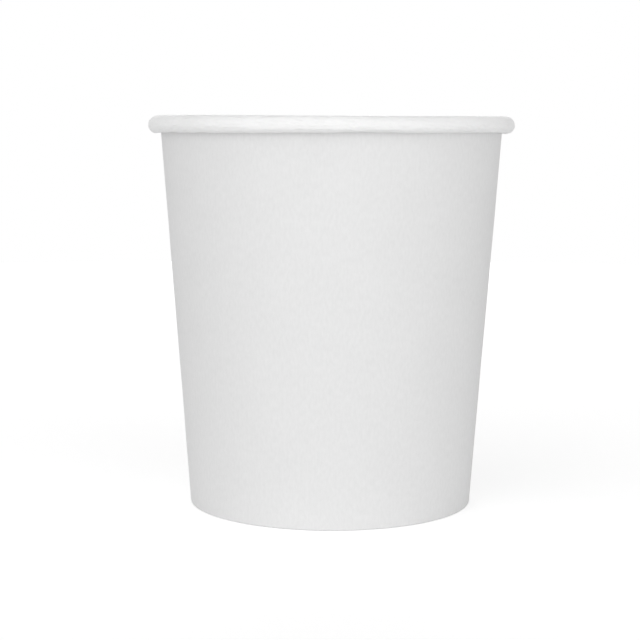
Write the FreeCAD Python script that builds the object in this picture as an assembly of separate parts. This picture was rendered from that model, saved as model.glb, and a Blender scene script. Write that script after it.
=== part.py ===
"""Paper sundae cup: a fan of coated board wrapped into a tapered wall, with a rolled rim, a lapped side
seam and a foot folded round the skirt of a dished base disc.

Frame: the origin is at the centre of the foot, on the surface that the cup stands on. +Z runs up the
cup's axis, and the side seam is at the back, on +Y. All lengths are in millimetres.
"""

import FreeCAD
import Part

import math
import os

# Overall size
rim_diameter = 96.0  # over the rolled rim
height = 102.4  # from the foot to the top of the rim
foot_diameter = 74.8  # where the wall's outside would meet the table

# Boards
wall_board = 0.40
base_board = 0.36
seal_gap = 0.02  # coating melted between two boards, on each side of the skirt

# Rolled rim, measured on its coated outside
rim_inner_radius = 1.05  # from the cup's inside up to the crown
rim_shoulder_radius = 2.42  # from the crown out to the widest line
rim_under_radius = 1.90  # from the widest line in to the underside
rim_tuck_angle = 78.0  # how far the cut edge turns up inside the roll, in degrees
rim_tuck_gap = 0.10  # between the tucked edge and the wall

# Folded foot
hem_height = 7.0  # the turned-up edge inside the foot
fold_inner_radius = 0.06  # inside the two bends of the fold
skirt_clearance = 0.12  # between the fold and the skirt's cut edge

# Base disc
base_corner_radius = 0.90  # outside the bend from the disc to its skirt
base_headroom = 0.45  # between the turned-up edge and the start of that bend

# Side seam
lap_angle = 8.0  # where the board lies double, in degrees
ramp_angle = 3.0  # where the outer end climbs over the inner end, in degrees
seam_azimuth = 90.0  # the middle of the lap, in degrees from +X

# Every bend is drawn as short flats, which keep within 0.08 mm of the round
rim_flat_count = 4  # in each of the roll's two wide bends
inner_flat_count = 3  # in the rim's inner bend
tight_flat_count = 2  # in the roll's tuck, the foot's fold and the base disc's corner


class SheetPath:
    """The middle line of a board in section, walked as straight runs and bends from a start and heading.

    Headings are in radians, from outward towards upward. A positive offset from the path lies on the
    right of the walker, which is the uncoated side of the board.
    """

    def __init__(self, radius, level, heading):
        self.points = [(radius, level)]
        self.heading = heading

    def straight(self, length):
        radius, level = self.points[-1]
        self.points.append(
            (radius + length * math.cos(self.heading), level + length * math.sin(self.heading))
        )

    def bend(self, bend_radius, turn, flats):
        """Turns left by a positive angle, or right by a negative one."""
        radius, level = self.points[-1]
        arm = math.copysign(bend_radius, turn)
        centre_radius = radius - arm * math.sin(self.heading)
        centre_level = level + arm * math.cos(self.heading)
        for step in range(1, flats + 1):
            now = self.heading + turn * step / flats
            self.points.append(
                (centre_radius + arm * math.sin(now), centre_level - arm * math.cos(now))
            )
        self.heading += turn

    def line(self, offset):
        """The points of a line beside the path, with a mitre at each corner."""
        runs = [
            math.atan2(end[1] - start[1], end[0] - start[0])
            for start, end in zip(self.points, self.points[1:])
        ]
        before, after = [runs[0]] + runs, runs + [runs[-1]]
        shifted = []
        for (radius, level), arriving, leaving in zip(self.points, before, after):
            half_turn = math.remainder(leaving - arriving, 2 * math.pi) / 2
            middle = arriving + half_turn
            reach = offset / math.cos(half_turn)
            shifted.append((radius + reach * math.sin(middle), level - reach * math.cos(middle)))
        return shifted

    def section(self, near, far):
        """The face between the lines at two offsets, on the plane through +X and +Z."""
        corners = [
            FreeCAD.Vector(radius, 0, level)
            for radius, level in self.line(near) + self.line(far)[::-1]
        ]
        return Part.Face(Part.makePolygon(corners + corners[:1]))


axis_foot = FreeCAD.Vector(0, 0, 0)
axis_up = FreeCAD.Vector(0, 0, 1)


def turned(shape, azimuth):
    """A copy of the shape, turned about the cup's axis."""
    copy = shape.copy()
    copy.rotate(axis_foot, axis_up, azimuth)
    return copy


def swept(face, azimuth, angle):
    """The solid that the face sweeps about the cup's axis, from an azimuth through an angle."""
    return turned(face, azimuth).revolve(axis_foot, axis_up, angle)


# The crown of the rim, where the inner bend and the shoulder meet
rim_radius = rim_diameter / 2
foot_radius = foot_diameter / 2
crown_radius = rim_radius - rim_shoulder_radius

# The wall's taper: its outside starts at the foot, and its inside runs on into the rim's inner bend
across = crown_radius - foot_radius
up = height - rim_inner_radius
taper = math.atan2(across, up) - math.asin((rim_inner_radius - wall_board) / math.hypot(across, up))
right_angle = math.pi / 2
wall_heading = right_angle - taper


def inward(distance, length):
    """A point this far in from the wall's outside, square to it, and this far along it from the foot."""
    return (
        foot_radius + length * math.sin(taper) - distance * math.cos(taper),
        length * math.cos(taper) + distance * math.sin(taper),
    )


def side_wall_path(with_tuck):
    """The wall's board from its turned-up edge, down round the foot, up the wall and round the rim."""
    half_board = wall_board / 2
    plies = 2 * wall_board + base_board + 2 * seal_gap
    leg_end = (hem_height - plies * math.sin(taper)) / math.cos(taper)

    # each bend of the fold takes this much of the runs beside it
    fold_outside = fold_inner_radius + wall_board
    leg_bend = fold_outside * math.tan((right_angle + taper) / 2)
    wall_bend = fold_outside * math.tan((right_angle - taper) / 2)
    leg_length = leg_end + plies * math.tan(taper) - leg_bend
    foot_flat = plies / math.cos(taper) - leg_bend - wall_bend
    wall_length = across * math.sin(taper) + up * math.cos(taper) - wall_bend

    # the underside of the roll turns up beside the wall
    under_level = height - rim_shoulder_radius - rim_under_radius
    wall_there = foot_radius + under_level * math.tan(taper)
    tuck_radius = rim_radius - rim_under_radius - wall_there - rim_tuck_gap

    path = SheetPath(*inward(plies - half_board, leg_end), wall_heading + math.pi)
    path.straight(leg_length)
    path.bend(fold_inner_radius + half_board, right_angle + taper, tight_flat_count)
    path.straight(foot_flat)
    path.bend(fold_inner_radius + half_board, right_angle - taper, tight_flat_count)
    path.straight(wall_length)
    path.bend(rim_inner_radius - half_board, -wall_heading, inner_flat_count)
    path.bend(rim_shoulder_radius - half_board, -right_angle, rim_flat_count)
    path.bend(rim_under_radius - half_board, -right_angle, rim_flat_count)
    if with_tuck:
        path.bend(tuck_radius - half_board, -math.radians(rim_tuck_angle), tight_flat_count)
    return path


def side_wall():
    """The wrapped board: one ply round the cup, a ramp, and a second ply over the first at the seam."""
    half_board = wall_board / 2
    lap_start = seam_azimuth - lap_angle / 2
    ply = side_wall_path(with_tuck=True).section(-half_board, half_board)
    # the second ply ends under the rim, ahead of the tuck
    short_path = side_wall_path(with_tuck=False)
    level_ply = short_path.section(-half_board, half_board)
    raised_ply = short_path.section(half_board, 3 * half_board)

    round_the_cup = swept(ply, lap_start, 360 - ramp_angle)
    lap = swept(raised_ply, lap_start, lap_angle)
    ramp_ends = [turned(level_ply, lap_start - ramp_angle), turned(raised_ply, lap_start)]
    ramp = Part.makeLoft([end.OuterWire for end in ramp_ends], True, True)
    # the fold is pressed level, so the second ply stops at the table
    under_table = Part.makeCylinder(rim_radius, height, axis_foot, axis_up * -1)
    return round_the_cup.fuse(lap.fuse(ramp).cut(under_table)).removeSplitter()


def base_disc():
    """The dished disc: a flat floor whose edge turns down into a skirt, held in the folded foot."""
    half_board = base_board / 2
    skirt_middle = wall_board + seal_gap + half_board
    cut_edge = inward(skirt_middle, wall_board + skirt_clearance)
    corner = inward(skirt_middle, hem_height + base_headroom)
    # walked from the skirt's cut edge up to the middle of the floor
    path = SheetPath(*cut_edge, wall_heading)
    path.straight(math.dist(cut_edge, corner))
    path.bend(base_corner_radius - half_board, right_angle + taper, tight_flat_count)
    floor_edge_radius = path.points[-1][0]
    path.straight(floor_edge_radius)
    return path.section(-half_board, half_board).revolve(axis_foot, axis_up, 360)


def main():
    os.makedirs("parts", exist_ok=True)
    for name, shape in (("side_wall", side_wall()), ("base_disc", base_disc())):
        shape.exportStep(f"parts/{name}.step")
        box = shape.optimalBoundingBox(False, False)
        print(
            f"{name}: {len(shape.Solids)} solid, {len(shape.Faces)} faces, valid {shape.isValid()},",
            f"{shape.Volume:.0f} mm3, {box.XLength:.2f} x {box.YLength:.2f} x {box.ZLength:.2f} mm,",
            f"from z {box.ZMin:.3f}",
        )


main()
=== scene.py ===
# %% [markdown]
# # A paper sundae cup
#
# The cup is made from two pieces of white board. A fan-shaped blank is wrapped into a tapered wall, its
# edges are sealed in a lap at the back, its top is curled outward into a rim, and its bottom is folded
# round the skirt of a pressed disc. In this lesson both pieces are drawn as real sheets with a thickness,
# because the folds, the lap and the curl are what make a paper cup look like one.
#
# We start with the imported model. Everything is in metres, in its frame: the foot's centre is the origin,
# +Z goes up and the seam is at the back, on +Y.

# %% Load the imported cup
import math

import bmesh
import bpy
import numpy as np
from mathutils import Matrix, Vector


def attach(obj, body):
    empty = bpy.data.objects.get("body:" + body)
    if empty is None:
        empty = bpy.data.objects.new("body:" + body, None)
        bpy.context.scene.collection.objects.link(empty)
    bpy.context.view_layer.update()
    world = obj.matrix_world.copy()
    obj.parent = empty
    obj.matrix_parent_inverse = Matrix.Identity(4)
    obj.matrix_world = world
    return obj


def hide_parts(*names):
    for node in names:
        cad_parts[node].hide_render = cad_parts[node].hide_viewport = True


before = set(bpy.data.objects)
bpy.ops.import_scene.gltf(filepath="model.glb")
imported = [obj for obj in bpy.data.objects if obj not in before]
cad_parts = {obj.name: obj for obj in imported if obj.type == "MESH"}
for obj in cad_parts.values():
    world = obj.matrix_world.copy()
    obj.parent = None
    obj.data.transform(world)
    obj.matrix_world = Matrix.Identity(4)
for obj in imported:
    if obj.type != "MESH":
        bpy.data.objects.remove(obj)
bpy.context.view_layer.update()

MM = 0.001

# %% [markdown]
# ## The sizes of the cup
#
# These are the real sizes in millimetres. The board is only 0.4 mm thick, so the rim gets its strength
# from the curl. Its outside is three bends of different size, which is why the roll looks a little
# flattened and not like a round ring.

# %% Sizes in millimetres
RIM_DIAMETER = 96.0
HEIGHT = 102.4
FOOT_DIAMETER = 74.8
WALL_BOARD = 0.40
BASE_BOARD = 0.36
SEAL_GAP = 0.02

RIM_INNER_RADIUS = 1.05
RIM_SHOULDER_RADIUS = 2.42
RIM_UNDER_RADIUS = 1.90
RIM_TUCK_ANGLE = math.radians(78.0)
RIM_TUCK_GAP = 0.10

HEM_HEIGHT = 7.0
FOLD_INNER_RADIUS = 0.06
SKIRT_CLEARANCE = 0.12
BASE_CORNER_RADIUS = 0.90
BASE_HEADROOM = 0.45

LAP_ANGLE = 8.0
RAMP_ANGLE = 3.0
SEAM_AZIMUTH = 90.0

rim_radius = RIM_DIAMETER / 2
foot_radius = FOOT_DIAMETER / 2
crown_radius = rim_radius - RIM_SHOULDER_RADIUS
across = crown_radius - foot_radius
up = HEIGHT - RIM_INNER_RADIUS
taper = math.atan2(across, up) - math.asin((RIM_INNER_RADIUS - WALL_BOARD) / math.hypot(across, up))
quarter_turn = math.pi / 2
print("the wall leans out", round(math.degrees(taper), 2), "degrees")

# %% [markdown]
# ## A board in section
#
# Every part of the cup is a sheet, so one small class is enough to draw its section. It walks along the
# middle of the board in straight runs and bends, and remembers at each point which way it is heading and
# how far it has come. The bare side of the board is always on the walker's right. The distance walked is
# kept because it tells us later where each point was on the flat blank.

# %% The line of a board
class BoardLine:
    """The middle of a board in section, as rows of radius, level, heading and distance walked."""

    def __init__(self, radius, level, heading):
        self.rows = [(radius, level, heading, 0.0)]

    def straight(self, length, steps=1):
        radius, level, heading, walked = self.rows[-1]
        for step in range(1, steps + 1):
            part = length * step / steps
            self.rows.append((
                radius + part * math.cos(heading), level + part * math.sin(heading),
                heading, walked + part,
            ))

    def bend(self, bend_radius, turn, steps):
        radius, level, heading, walked = self.rows[-1]
        arm = math.copysign(bend_radius, turn)
        centre_radius = radius - arm * math.sin(heading)
        centre_level = level + arm * math.cos(heading)
        for step in range(1, steps + 1):
            now = heading + turn * step / steps
            self.rows.append((
                centre_radius + arm * math.sin(now), centre_level - arm * math.cos(now),
                now, walked + abs(arm * turn) * step / steps,
            ))

    def table(self):
        return np.array(self.rows)


def inward(distance, length):
    """A point this far in from the wall's outside, square to it, and this far along it from the foot."""
    return (
        foot_radius + length * math.sin(taper) - distance * math.cos(taper),
        length * math.cos(taper) + distance * math.sin(taper),
    )


# %% [markdown]
# ## The wall's section
#
# We walk from the cut edge that is hidden inside the foot, down, round the two tight bends of the fold,
# up the long wall and round the rim to the other cut edge, which ends inside the curl. The curl turns the
# coated inside of the cup to the outside of the rim, so the rim shines a little and the wall doesn't.

# %% Walk the wall
LEG_STEPS = 10
FOLD_STEPS = 6  # in each of the fold's two bends
WALL_STEPS = 32
INNER_STEPS = 8
ROLL_STEPS = 12  # in each of the roll's two wide bends
TUCK_STEPS = 6

half_wall = WALL_BOARD / 2
plies = 2 * WALL_BOARD + BASE_BOARD + 2 * SEAL_GAP
fold_outside = FOLD_INNER_RADIUS + WALL_BOARD
leg_bend = fold_outside * math.tan((quarter_turn + taper) / 2)
wall_bend = fold_outside * math.tan((quarter_turn - taper) / 2)
leg_end = (HEM_HEIGHT - plies * math.sin(taper)) / math.cos(taper)

wall_line = BoardLine(*inward(plies - half_wall, leg_end), quarter_turn - taper + math.pi)
wall_line.straight(leg_end + plies * math.tan(taper) - leg_bend, LEG_STEPS)
leg_foot = len(wall_line.rows) - 1
wall_line.bend(FOLD_INNER_RADIUS + half_wall, quarter_turn + taper, FOLD_STEPS)
wall_line.straight(plies / math.cos(taper) - leg_bend - wall_bend)
wall_line.bend(FOLD_INNER_RADIUS + half_wall, quarter_turn - taper, FOLD_STEPS)
wall_foot = len(wall_line.rows) - 1
wall_line.straight(across * math.sin(taper) + up * math.cos(taper) - wall_bend, WALL_STEPS)
wall_top = len(wall_line.rows) - 1
wall_line.bend(RIM_INNER_RADIUS - half_wall, taper - quarter_turn, INNER_STEPS)
wall_line.bend(RIM_SHOULDER_RADIUS - half_wall, -quarter_turn, ROLL_STEPS)
widest = len(wall_line.rows) - 1

# the underside turns up beside the wall, so its size follows from the room that is left there
under_level = HEIGHT - RIM_SHOULDER_RADIUS - RIM_UNDER_RADIUS
wall_there = foot_radius + under_level * math.tan(taper)
tuck_radius = rim_radius - RIM_UNDER_RADIUS - wall_there - RIM_TUCK_GAP
wall_line.bend(RIM_UNDER_RADIUS - half_wall, -quarter_turn, ROLL_STEPS)
lowest = len(wall_line.rows) - 1
wall_line.bend(tuck_radius - half_wall, -RIM_TUCK_ANGLE, TUCK_STEPS)
wall = wall_line.table()
print("the wall's board is", round(wall[-1, 3], 1), "mm from edge to edge")

# %% [markdown]
# ## Small unevenness
#
# Board springs back a little after it is formed, so no paper cup is quite true. A displacement texture
# could roughen the whole cup alike, but each kind of unevenness has its own place here, so we move the
# points ourselves. Two building blocks are enough: a sum of sines with fixed phases, which gives waves that
# never repeat, and a smooth span, which is 1 where something happens and 0 elsewhere.

# %% Waves and spans
def smooth_step(value):
    """0 below 0, 1 above 1, and an even curve between."""
    value = np.clip(value, 0.0, 1.0)
    return value * value * (3 - 2 * value)


def waves(angle, counts, seed):
    """A sum of waves round the cup, between about -1 and 1."""
    draw = np.random.default_rng(seed)
    total = np.zeros_like(angle)
    for count in counts:
        total += np.sin(count * angle + draw.uniform(0, 2 * math.pi)) * draw.uniform(0.5, 1.0)
    return total / len(counts) ** 0.5


def span(value, start, full, still_full, end):
    """1 between the two middle places, 0 before the start and past the end."""
    return smooth_step((value - start) / (full - start)) * smooth_step((end - value) / (end - still_full))


def bump(value, middle, reach):
    """1 at the middle, falling off on both sides."""
    return np.exp(-((value - middle) / reach) ** 2)


# %% [markdown]
# ## An uneven wall and roll
#
# The wall isn't perfectly round between its foot and its rim. The roll sits a fifth of a millimetre low at
# the front, and is rolled tighter there than at the sides and the back. Its underside also rises and falls
# in fine waves, so the dark line where it meets the wall is broken into dashes. Just right of the front it
# lifts, and the line fades out. All this is placed by the angle from the front.

# %% Unevenness in millimetres
FRONT = math.radians(-90.0)
WALL_WAVE = 0.05
WAVE_LEAN = 0.004  # radians for each millimetre up the wall
RIM_SAG = 0.22
LOOSE_ROLL = 0.22
TIGHT_ROLL = 0.24
CURL_LIFT = 0.26
CURL_WAVE = 0.05
print("the roll sits", RIM_SAG, "mm low where it sags most")


def from_front(angle):
    """Degrees round the cup from its front, positive to the right, between -180 and 180."""
    return np.degrees((angle - FRONT + math.pi) % (2 * math.pi) - math.pi)


def wall_wave(angle, level):
    """How far the wall stands out, in mm: nothing at the foot and the rim, which hold it round."""
    free = span(level, 4, 26, 80, 96)
    lean = angle + level * WAVE_LEAN
    wide = waves(lean, (3, 5, 8, 13), 4)
    narrow = waves(lean - level * 5 * WAVE_LEAN, (9, 16), 9)
    return WALL_WAVE * free * (wide + 0.5 * narrow)


def rim_sag(angle):
    """How far the whole roll sits below its full height, in mm."""
    return RIM_SAG * bump(from_front(angle), 14, 38)


def curl_rise(angle):
    """How far the underside of the roll lies above its drawn place, in mm."""
    turned = from_front(angle)
    looser = LOOSE_ROLL * (1 - span(turned, -88, -62, 70, 100))
    tighter = TIGHT_ROLL * span(turned, -35, -5, 55, 90)
    lift = CURL_LIFT * bump(turned, 10, 8)
    return tighter - looser + lift + CURL_WAVE * waves(angle, (23, 37, 47, 59), 21)


# %% [markdown]
# ## The wall as a mesh
#
# The blank is longer than one turn. It starts under the lap, goes round the cup, climbs over its own start
# and ends with a visible cut edge. A spun section would close on itself and have no seam, so the mesh is a
# grid of columns instead, from one straight edge of the blank to the other.

# %% Columns round the cup
LAP_COLUMNS = 8
TURN_COLUMNS = 380
RAMP_COLUMNS = 6
turn_steps = np.concatenate([
    np.linspace(0, LAP_ANGLE, LAP_COLUMNS + 1),
    np.linspace(LAP_ANGLE, 360 - RAMP_ANGLE, TURN_COLUMNS + 1)[1:],
    np.linspace(360 - RAMP_ANGLE, 360, RAMP_COLUMNS + 1)[1:],
    np.linspace(360, 360 + LAP_ANGLE, LAP_COLUMNS + 1)[1:],
])
lap_start = SEAM_AZIMUTH - LAP_ANGLE / 2
column_angle = np.radians(lap_start + turn_steps)
print("the blank goes round", turn_steps[-1], "degrees in", len(turn_steps), "columns")

# %% [markdown]
# ## Two plies at the seam, and one elsewhere
#
# A second set of points lies one board thickness away from the first. In the last degrees of the turn the
# second ply lies outside the first. Under the foot both plies are pressed to half their thickness, so that
# the cup stands level on its seam too. Inside the foot, a knurled tool has pressed fine ribs into the
# turned-up edge, one in every second column.

# %% Bend the blank round the cup
KNURL = 0.05  # mm
PLY_GAP = 0.01  # mm
PRESSED_BELOW = 0.2  # mm above the table
FREE_ABOVE = 1.4
SAG_FROM = 70  # the wall yields to the roll's sag above this level
SAG_TO = 97

climb = smooth_step((turn_steps - (360 - RAMP_ANGLE)) / RAMP_ANGLE)
under_lap = smooth_step(LAP_ANGLE + 1 - turn_steps)
pressed = smooth_step((FREE_ABOVE - wall[:, 1]) / (FREE_ABOVE - PRESSED_BELOW))

angle, radius = np.meshgrid(column_angle, wall[:, 0], indexing="ij")
level, heading = (np.broadcast_to(wall[:, k], angle.shape) for k in (1, 2))
row_number = np.broadcast_to(np.arange(len(wall)), angle.shape)
press, climb, under_lap = pressed[None, :], climb[:, None], under_lap[:, None]
doubled = np.maximum(climb, under_lap)
coated_offset = -half_wall + climb * (half_wall * (2 - press) + PLY_GAP)
bare_offset = coated_offset + WALL_BOARD * (1 - 0.5 * press * doubled) - climb * PLY_GAP

ribbed = span(level, 1.5, 2.5, HEM_HEIGHT - 2, HEM_HEIGHT - 1) * (row_number <= leg_foot)
bare_offset = bare_offset - KNURL * ribbed * (np.arange(len(column_angle)) % 2)[:, None]

on_wall = (row_number >= wall_foot) & (row_number <= wall_top)
tucked = smooth_step((row_number - lowest) / (len(wall) - 1 - lowest))
radius = radius + wall_wave(angle, level) * on_wall + WALL_BOARD * tucked * doubled
level = level + curl_rise(angle) * smooth_step((row_number - widest) / (lowest - widest))
level = level - rim_sag(angle) * smooth_step((level - SAG_FROM) / (SAG_TO - SAG_FROM))
print("the middle of the board reaches from", round(level.min(), 2), "to", round(level.max(), 2), "mm")

# %% [markdown]
# ## Both sides of the board
#
# The grids hold the middle of the board so far. Each side is found by going square out from the middle, so
# the board keeps its thickness round every bend.

# %% Points on both sides
def beside(angle, radius, level, heading, offset):
    """Points of a board in metres, at an offset in mm from its middle, to the right of its heading."""
    out = radius + offset * np.sin(heading)
    high = level - offset * np.cos(heading)
    return np.stack([out * np.cos(angle), out * np.sin(angle), high], axis=-1) * MM


coated_points = beside(angle, radius, level, heading, coated_offset)
bare_points = beside(angle, radius, level, heading, bare_offset)
print("wall grid:", coated_points.shape[0], "columns of", coated_points.shape[1], "rows")

# %% [markdown]
# ## From two grids of points to one closed sheet
#
# A sheet has two large sides and four cut edges. A Solidify modifier could thicken a single surface, but it
# can't tell the coated side from the bare one, or press the plies under the foot. So the faces are listed
# from the two grids, in three groups, one for each finish: the coated side, the bare side and the cut edge.

# %% The faces of a sheet
COATED, BARE, CUT = 0, 1, 2


def side_faces(corner):
    """The faces of one large side, from its grid of point numbers."""
    square = [corner[:-1, :-1], corner[1:, :-1], corner[1:, 1:], corner[:-1, 1:]]
    return np.stack(square, axis=-1).reshape(-1, 4)


def edge_faces(near, far):
    """The faces of one cut edge, from the point numbers along its two sides."""
    return np.stack([near[:-1], far[:-1], far[1:], near[1:]], axis=-1)


# %% [markdown]
# ## A mesh with the flat blank as UV map
#
# The next function joins the faces into one mesh. The UV map it lays out is the flat blank, so the grain of
# the board runs straight on the blank and leans slightly on the cup, as it does on a real one.

# %% Join the faces
def sheet_mesh(name, coated_points, bare_points, flat, round_trip):
    """The mesh of a board. A round one joins its last column to its first, and ends in its middle."""
    columns, rows = coated_points.shape[:2]
    near = np.arange(columns * rows).reshape(columns, rows)
    if round_trip:
        near = np.vstack([near, near[:1]])
    far = near + columns * rows
    groups = {
        COATED: [side_faces(near)],
        BARE: [side_faces(far)],
        CUT: [edge_faces(near[:, 0], far[:, 0])],
    }
    if not round_trip:
        other_edges = (slice(None), -1), 0, -1
        groups[CUT] += [edge_faces(near[edge], far[edge]) for edge in other_edges]
    faces = np.concatenate([face for group in groups.values() for face in group])
    finishes = np.concatenate([np.full(len(face), key) for key, group in groups.items() for face in group])
    points = np.concatenate([coated_points.reshape(-1, 3), bare_points.reshape(-1, 3)])

    mesh = bpy.data.meshes.new(name)
    mesh.from_pydata(points.tolist(), [], faces.tolist())
    mesh.polygons.foreach_set("material_index", finishes.astype(np.int32))
    mesh.polygons.foreach_set("use_smooth", np.ones(len(faces), dtype=bool))
    corners = np.empty(len(mesh.loops), dtype=np.int32)
    mesh.loops.foreach_get("vertex_index", corners)
    flat_twice = np.concatenate([flat.reshape(-1, 2)] * 2).astype(np.float32)
    mesh.uv_layers.new(name="flat_blank").uv.foreach_set("vector", flat_twice[corners].ravel())
    return mesh


# %% [markdown]
# ## Closing the sheet
#
# A real board has no gaps, and neither may the mesh. Points that fall together, as in the middle of the
# round base, are merged, and all faces are turned outward. Bends are shaded smoothly, and only edges
# sharper than 50 degrees stay crisp, which are those of the cut. An edge that doesn't join two faces would
# be an open one, so those are counted.

# %% Build a sheet
MERGE_DISTANCE = 1e-7  # metres
CRISP_ANGLE = math.radians(50)


def sheet(name, coated_points, bare_points, flat, round_trip=False):
    """A closed piece of board from the points of its two sides and its flat blank."""
    mesh = sheet_mesh(name, coated_points, bare_points, flat, round_trip)
    shaping = bmesh.new()
    shaping.from_mesh(mesh)
    bmesh.ops.remove_doubles(shaping, verts=shaping.verts, dist=MERGE_DISTANCE)
    bmesh.ops.recalc_face_normals(shaping, faces=shaping.faces)
    open_edges = sum(not edge.is_manifold for edge in shaping.edges)
    shaping.to_mesh(mesh)
    shaping.free()
    mesh.set_sharp_from_angle(angle=CRISP_ANGLE)

    piece = bpy.data.objects.new(name, mesh)
    bpy.context.scene.collection.objects.link(piece)
    triangles = sum(len(face.vertices) - 2 for face in mesh.polygons)
    print(name, "has", triangles, "triangles and", open_edges, "open edges")
    return piece


# %% [markdown]
# ## The flat fan
#
# A cone unrolls to a fan. Its point is where the cone would close below the foot, so a point of the wall
# lies on the fan at its distance from there, and at its angle round the cup times the sine of the taper.
# We move the fan so that the middle of the front of the foot is its origin.

# %% Lay out the flat fan and build the wall
fan_start = foot_radius / math.sin(taper)
from_foot = wall[:, 3] - wall[wall_foot, 3]
column_turn = column_angle - FRONT - 2 * math.pi
fan_radius, fan_angle = np.meshgrid(fan_start + from_foot, column_turn * math.sin(taper))
flat_fan = MM * np.stack(
    [fan_radius * np.sin(fan_angle), fan_radius * np.cos(fan_angle) - fan_start], axis=-1
)
print("the fan's inner radius is", round(fan_start), "mm")
side_wall = sheet("side_wall_board", coated_points, bare_points, flat_fan)

# %% [markdown]
# ## The base disc
#
# The base is stamped from thinner board, pressed to a flat floor with its edge turned down into a skirt.
# The skirt is held in the folded foot. We walk its section from the skirt's cut edge up, round the corner
# and in to the middle, with the bare side below.

# %% Walk the base disc
SKIRT_STEPS = 4
CORNER_STEPS = 8
FLOOR_STEPS = 26
half_base = BASE_BOARD / 2
skirt_middle = WALL_BOARD + SEAL_GAP + half_base
cut_edge = inward(skirt_middle, WALL_BOARD + SKIRT_CLEARANCE)
corner = inward(skirt_middle, HEM_HEIGHT + BASE_HEADROOM)
base_line = BoardLine(*cut_edge, quarter_turn - taper)
base_line.straight(math.dist(cut_edge, corner), SKIRT_STEPS)
base_line.bend(BASE_CORNER_RADIUS - half_base, quarter_turn + taper, CORNER_STEPS)
corner_end = len(base_line.rows) - 1
base_line.straight(base_line.rows[-1][0], FLOOR_STEPS)
base = base_line.table()
print("the base was a flat disc", round(2 * base[-1, 3]), "mm across")

# %% [markdown]
# ## Pleats in the base
#
# A flat disc can't turn down at its edge without gathering, so the corner and the skirt carry fine pleats,
# and the floor buckles a little. The section is spun once round. The pleats are a fine wave that fades out
# over the first millimetres of the floor, and the buckle is a slow one.

# %% Spin the base disc with its pleats
BASE_COLUMNS = 360
PLEAT = 0.04  # mm
BUCKLE = 0.06  # mm
BUCKLE_RADIUS = 37  # mm
base_angle = np.linspace(0, 2 * math.pi, BASE_COLUMNS, endpoint=False)
angle_b, radius_b = np.meshgrid(base_angle, base[:, 0], indexing="ij")
level_b, heading_b = (np.broadcast_to(base[:, k], angle_b.shape) for k in (1, 2))
from_corner = base[:, 3] - base[corner_end, 3]
pleat_fade = span(from_corner, -1.3, -0.5, 0, 3.5)
pleats = PLEAT * waves(angle_b, (61, 83, 97, 113), 33) * pleat_fade[None, :]
buckle = BUCKLE * waves(angle_b, (2, 3, 5), 12) * smooth_step(from_corner / 8)[None, :]
level_b = level_b + pleats + buckle * (radius_b / BUCKLE_RADIUS) ** 2
flat_radius = base[-1, 3] - base[:, 3]
flat_disc = np.stack([flat_radius * np.cos(angle_b), flat_radius * np.sin(angle_b)], axis=-1) * MM
base_disc = sheet(
    "base_disc_board",
    beside(angle_b, radius_b, level_b, heading_b, half_base),
    beside(angle_b, radius_b, level_b, heading_b, -half_base),
    flat_disc,
    round_trip=True,
)

# %% [markdown]
# ## Colours and nodes
#
# Colours are written as the sRGB hex values that a maker would read from a sample, and turned to the
# linear values that Blender's sockets want. One function adds any node: it sets the node's own settings,
# and for each socket takes either a value or another node's output.

# %% Helpers for materials
def linear(hex_colour):
    """An sRGB hex colour as linear red, green, blue and alpha."""
    parts = [int(hex_colour[k:k + 2], 16) / 255 for k in (1, 3, 5)]
    return [part / 12.92 if part <= 0.04045 else ((part + 0.055) / 1.055) ** 2.4 for part in parts] + [1.0]


def add(tree, kind, sockets=None, **settings):
    """Adds a node. sockets maps an input's name or number to a value or to another node's output."""
    made = tree.nodes.new("ShaderNode" + kind)
    for name, value in settings.items():
        setattr(made, name, value)
    for name, value in (sockets or {}).items():
        if isinstance(value, bpy.types.NodeSocket):
            tree.links.new(value, made.inputs[name])
        else:
            made.inputs[name].default_value = value
    return made


def new_material(name):
    material = bpy.data.materials.new(name)
    material.use_nodes = True
    material.node_tree.nodes.clear()
    return material, material.node_tree


# %% [markdown]
# ## The grain of the board
#
# Paperboard is wood fibre laid down from water. Its fibres are 1 to 3 mm long and mostly point along the
# machine's direction, which runs up the wall of a cup because the blank is printed and cut that way.
# Between them the sheet is a little cloudy, in patches of about 10 mm, which makers call its formation.
# A fibre is only 0.03 mm wide, too fine to show here, so the streaks are bundles of fibres, drawn as coarse
# as they need to show. The patterns use the flat blank's map, in metres, so a size in millimetres turns
# straight into a scale.

# %% The grain as a pattern
STREAK_WIDTH = 0.7  # mm, drawn coarser than a fibre
STREAK_LENGTH = 1.8  # mm
CLOUD = 11.0  # mm


def grain(tree):
    """Two patterns between 0 and 1, averaging a half: the streaks of the fibres, and the clouds."""
    blank = add(tree, "UVMap", uv_map="flat_blank").outputs[0]
    along = add(tree, "Mapping", {
        "Vector": blank, "Scale": (1 / (STREAK_WIDTH * MM), 1 / (STREAK_LENGTH * MM), 1.0),
    }).outputs[0]
    streaks = add(tree, "TexNoise", {"Vector": along, "Scale": 1.0, "Detail": 2.0, "Roughness": 0.6})
    clouds = add(tree, "TexNoise", {
        "Vector": blank, "Scale": 1 / (CLOUD * MM), "Detail": 3.0, "Roughness": 0.55,
    })
    return streaks.outputs[0], clouds.outputs[0]


# %% [markdown]
# ## Uncoated paperboard
#
# The outside of the wall is bleached board with nothing on it: white, quite matt, and covered in faint
# upright streaks a shade lighter and darker than the rest. Cellulose has an IOR of about 1.5, but the
# surface is so rough that it shows no highlight, only a slight lift at glancing angles.

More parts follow.
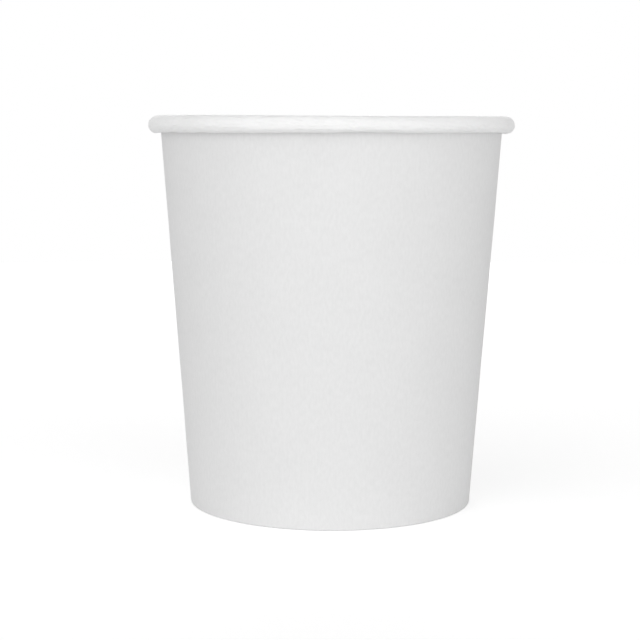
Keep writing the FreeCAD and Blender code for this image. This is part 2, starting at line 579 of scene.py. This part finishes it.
# %% Uncoated bleached paperboard
uncoated, tree = new_material("uncoated_bleached_paperboard")
streaks, clouds = grain(tree)
blend = add(tree, "Math", {0: clouds, 1: 0.25}, operation="MULTIPLY").outputs[0]
blend = add(tree, "Math", {0: streaks, 1: 0.75, 2: blend}, operation="MULTIPLY_ADD").outputs[0]
shade = add(tree, "MapRange", {"Value": blend, "From Min": 0.3, "From Max": 0.7}).outputs[0]
dark, light = linear("#E8E8E8"), linear("#EEEEEE")
colour = add(tree, "Mix", {0: shade, 6: dark, 7: light}, data_type="RGBA").outputs[2]
relief = add(tree, "Bump", {"Height": streaks, "Strength": 0.25, "Distance": 0.03 * MM})
surface = add(tree, "BsdfPrincipled", {
    "Base Color": colour, "Roughness": 0.86, "IOR": 1.5, "Normal": relief.outputs[0],
})
add(tree, "OutputMaterial", {"Surface": surface.outputs[0]})
print(uncoated.name, "has", len(tree.nodes), "nodes")

# %% [markdown]
# ## Coated paperboard
#
# The inside of the cup, and so the outside of the curled rim, carries about 0.02 mm of clear polyethylene,
# pressed on by a matt chill roll. It seals the cup and makes the seams stick when they are heated. It gives
# a soft satin light over the same white board, broken by the fibres that stand up under it, so the fibres
# drive both its roughness and its relief.

# %% Polyethylene-coated paperboard
coated, tree = new_material("polyethylene_coated_paperboard")
streaks, clouds = grain(tree)
shade = add(tree, "MapRange", {"Value": clouds, "From Min": 0.3, "From Max": 0.7}).outputs[0]
dark, light = linear("#F6F6F6"), linear("#FCFCFC")
colour = add(tree, "Mix", {0: shade, 6: dark, 7: light}, data_type="RGBA").outputs[2]
satin = add(tree, "MapRange", {"Value": streaks, "To Min": 0.56, "To Max": 0.68}).outputs[0]
fibre_relief = add(tree, "Bump", {"Height": streaks, "Strength": 0.3, "Distance": 0.02 * MM})

# %% [markdown]
# ## Creases along the roll
#
# Where the board was curled, it has gathered into fine creases along the roll, each a few millimetres long.
# The inside of the cup has none. The same material covers both, so the creases are faded in by the distance
# from the cup's axis: the crown of the rim lies 45.6 mm out, and the widest line 48 mm.

# %% Creases on the coated board
CREASE_LENGTH = 2.2  # mm
CREASE_WIDTH = 0.7  # mm
CREASE_DEPTH = 0.4  # mm
SMOOTH_WITHIN = 45.0  # mm from the axis
CREASED_BEYOND = 46.4  # mm from the axis

blank = add(tree, "UVMap", uv_map="flat_blank").outputs[0]
across_grain = add(tree, "Mapping", {
    "Vector": blank, "Scale": (1 / (CREASE_LENGTH * MM), 1 / (CREASE_WIDTH * MM), 1.0),
}).outputs[0]
creases = add(tree, "TexNoise", {"Vector": across_grain, "Scale": 1.0, "Detail": 2.0, "Roughness": 0.5})
place = add(tree, "TexCoord").outputs["Object"]
level_place = add(tree, "VectorMath", {0: place, 1: (1.0, 1.0, 0.0)}, operation="MULTIPLY")
from_axis = add(tree, "VectorMath", {0: level_place.outputs[0]}, operation="LENGTH")
on_roll = add(tree, "MapRange", {
    "Value": from_axis.outputs["Value"], "From Min": SMOOTH_WITHIN * MM, "From Max": CREASED_BEYOND * MM,
})
gathered = add(tree, "Math", {0: creases.outputs[0], 1: on_roll.outputs[0]}, operation="MULTIPLY")
relief = add(tree, "Bump", {
    "Height": gathered.outputs[0], "Strength": 1.0, "Distance": CREASE_DEPTH * MM,
    "Normal": fibre_relief.outputs[0],
})
surface = add(tree, "BsdfPrincipled", {
    "Base Color": colour, "Roughness": satin, "IOR": 1.51, "Normal": relief.outputs[0],
})
add(tree, "OutputMaterial", {"Surface": surface.outputs[0]})
print(coated.name, "has", len(tree.nodes), "nodes")

# %% [markdown]
# ## The cut edge
#
# Where the blank was punched, the cut shows the middle plies of the board. They are less bleached than the
# faces, loose and fuzzy, so the edge is a shade darker and has no shine at all.

# %% Cut edge of paperboard
cut_board, tree = new_material("cut_edge_of_paperboard")
clouds = grain(tree)[1]
dark, light = linear("#D9D8D5"), linear("#E6E5E2")
colour = add(tree, "Mix", {0: clouds, 6: dark, 7: light}, data_type="RGBA").outputs[2]
relief = add(tree, "Bump", {"Height": clouds, "Strength": 0.5, "Distance": 0.04 * MM})
surface = add(tree, "BsdfPrincipled", {
    "Base Color": colour, "Roughness": 0.95, "IOR": 1.5, "Normal": relief.outputs[0],
})
add(tree, "OutputMaterial", {"Surface": surface.outputs[0]})
print(cut_board.name, "has", len(tree.nodes), "nodes")

# %% [markdown]
# ## Three finishes on each board
#
# Each sheet takes the three materials in the order in which its faces were numbered: coated, bare and cut.

# %% Finish the boards
for piece in (side_wall, base_disc):
    for material in (coated, uncoated, cut_board):
        piece.data.materials.append(material)
print("finishes:", [material.name for material in side_wall.data.materials])

# %% [markdown]
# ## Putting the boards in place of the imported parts
#
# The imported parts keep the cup's size and its physics. Our boards are drawn in the same place, so each one
# rides on the cup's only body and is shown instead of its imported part.

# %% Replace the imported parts
for piece, node, slot in (
    (side_wall, "side_wall", "wall_board"), (base_disc, "base_disc", "base_board"),
):
    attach(piece, "root")
    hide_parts(node)

# %% [markdown]
# ## The table and the white behind it
#
# The cup stands on a plain pale round, small enough to lie inside the ring of lamps, so that no part of it
# is unlit. A larger floor would show a grey band behind each lamp.

# %% Floor
FLOOR_RADIUS = 0.8  # metres
FLOOR_CORNERS = 72
floor_turns = np.linspace(0, 2 * math.pi, FLOOR_CORNERS, endpoint=False)
floor_points = [(FLOOR_RADIUS * math.cos(turn), FLOOR_RADIUS * math.sin(turn), 0.0) for turn in floor_turns]
floor_mesh = bpy.data.meshes.new("floor")
floor_mesh.from_pydata(floor_points, [], [range(FLOOR_CORNERS)])
floor = bpy.data.objects.new("floor", floor_mesh)
bpy.context.scene.collection.objects.link(floor)
print("round floor,", 2 * FLOOR_RADIUS, "m across")

# %% [markdown]
# ## A white that is only seen
#
# The picture is a cut-out on pure white, but white light from everywhere would wash out the cup. So the
# floor and the surround are made twice: as they light the cup, and as they are seen. Light Path tells the
# two apart. The camera sees the second, and so do reflections and rays through glass, which would otherwise
# show a background that isn't there.

# %% What is seen, and what gives light
WHITE = (1.0, 1.0, 1.0, 1.0)


def is_seen(tree):
    """1 for the camera's rays and for reflected and transmitted ones, 0 for the light on the cup."""
    path = add(tree, "LightPath").outputs
    seen = path["Is Camera Ray"]
    for other in ("Is Glossy Ray", "Is Transmission Ray"):
        seen = add(tree, "Math", {0: seen, 1: path[other]}, operation="MAXIMUM").outputs[0]
    return seen


# %% [markdown]
# ## A pale floor
#
# As it lights the cup, the floor is an ordinary matt pale surface, which throws light up under the roll. As
# it is seen, it also glows a little: it reaches white where nothing shades it, and still darkens where the
# cup's shadow falls.

# %% Pale matt floor
FLOOR_GLOW = 0.52
pale_floor, tree = new_material("pale_floor")
bounce = add(tree, "BsdfDiffuse", {"Color": linear("#F4F4F4")})
shaded = add(tree, "BsdfDiffuse", {"Color": linear("#D8D8D8")})
glow = add(tree, "Emission", {"Color": WHITE, "Strength": FLOOR_GLOW})
to_camera = add(tree, "AddShader", {0: shaded.outputs[0], 1: glow.outputs[0]})
both = add(tree, "MixShader", {0: is_seen(tree), 1: bounce.outputs[0], 2: to_camera.outputs[0]})
add(tree, "OutputMaterial", {"Surface": both.outputs[0]})
floor_mesh.materials.append(pale_floor)

# %% [markdown]
# ## Soft light from all round
#
# A white cup shows its shape only by small steps of grey, so the light has to be soft and a little uneven.
# The surround grows brighter towards the front and upper left, which makes the roll lightest there and
# greyest at its right end. A world with a smooth change across its bright half does this with two numbers.
# The half that faces away keeps the lowest level. As it is seen, the same world is plain white.

# %% Directions in the studio
def towards(azimuth, elevation):
    """The unit vector to a place in the studio, from degrees right of the front and degrees up."""
    turn, rise = math.radians(azimuth), math.radians(elevation)
    return (math.cos(rise) * math.sin(turn), -math.cos(rise) * math.cos(turn), math.sin(rise))


# %% World
SURROUND = 0.30  # strength on the darkest side
BRIGHT_SIDE = 0.91  # what the brightest side adds
BRIGHTEST = towards(-17, 20)

world = bpy.data.worlds.new("studio")
bpy.context.scene.world = world
world.use_nodes = True
tree = world.node_tree
tree.nodes.clear()
outward = add(tree, "TexCoord").outputs["Generated"]
facing = add(tree, "VectorMath", {0: outward, 1: BRIGHTEST}, operation="DOT_PRODUCT")
strength = add(tree, "MapRange", {
    "Value": facing.outputs["Value"], "To Min": SURROUND, "To Max": SURROUND + BRIGHT_SIDE,
})
soft = add(tree, "Background", {"Color": WHITE, "Strength": strength.outputs[0]})
white = add(tree, "Background", {"Color": WHITE, "Strength": 1.0})
both = add(tree, "MixShader", {0: is_seen(tree), 1: soft.outputs[0], 2: white.outputs[0]})
add(tree, "OutputWorld", {"Surface": both.outputs[0]})
print("the surround gives", SURROUND, "to", round(SURROUND + BRIGHT_SIDE, 2))

# %% [markdown]
# ## Three large lamps
#
# The one on the left is raised and weak. The one on the right is level with the cup, so it reaches under
# the roll, and the shadow there is fainter on the right than on the left. The one behind lights the back,
# which the surround would leave grey. They are more than half a metre wide, so their shadows have no edge.

# %% Lamps
LAMP_DISTANCE = 1.3  # metres
LAMP_SIZE = 0.7  # metres


def soft_lamp(name, azimuth, elevation, power):
    """A square lamp aimed at the cup's middle."""
    data = bpy.data.lights.new(name, "AREA")
    data.size = LAMP_SIZE
    data.energy = power
    lamp = bpy.data.objects.new(name, data)
    bpy.context.scene.collection.objects.link(lamp)
    offset = Vector(towards(azimuth, elevation)) * LAMP_DISTANCE
    facing_cup = offset.to_track_quat("Z", "Y").to_matrix().to_4x4()
    lamp.matrix_world = Matrix.Translation(offset + Vector((0, 0, HEIGHT * MM / 2))) @ facing_cup
    return lamp


for name, azimuth, elevation, power in (
    ("left_lamp", -35, 20, 1.0), ("right_lamp", 40, 4, 3.2), ("back_lamp", 180, 12, 5.0),
):
    lamp = soft_lamp(name, azimuth, elevation, power)
    print(name, "at", [round(value, 2) for value in lamp.matrix_world.translation])

# %% [markdown]
# ## Camera
#
# The picture was taken from close by, level with the rim, looking down a few degrees. The values come from
# fitting a camera and a tapered cup to the outline: the ellipse of the foot against the almost straight
# rim fixes how near the camera is.

# %% Camera
CAMERA_PLACE = (-2.839 * MM, -442.377 * MM, 99.68 * MM)
CAMERA_DOWN = 0.1155  # radians
CAMERA_ROLL = 0.0031  # radians
SENSOR_WIDTH = 36.0  # mm
FOCAL_LENGTH = 93.855  # mm

camera_data = bpy.data.cameras.new("camera")
camera_data.sensor_width = SENSOR_WIDTH
camera_data.lens = FOCAL_LENGTH
camera = bpy.data.objects.new("camera", camera_data)
bpy.context.scene.collection.objects.link(camera)
camera.matrix_world = (
    Matrix.Translation(CAMERA_PLACE)
    @ Matrix.Rotation(quarter_turn - CAMERA_DOWN, 4, "X")
    @ Matrix.Rotation(CAMERA_ROLL, 4, "Z")
)
bpy.context.scene.camera = camera
bpy.context.scene.view_settings.view_transform = "Standard"
print("the camera stands", round(math.hypot(*CAMERA_PLACE[:2]) / MM), "mm from the cup's axis")
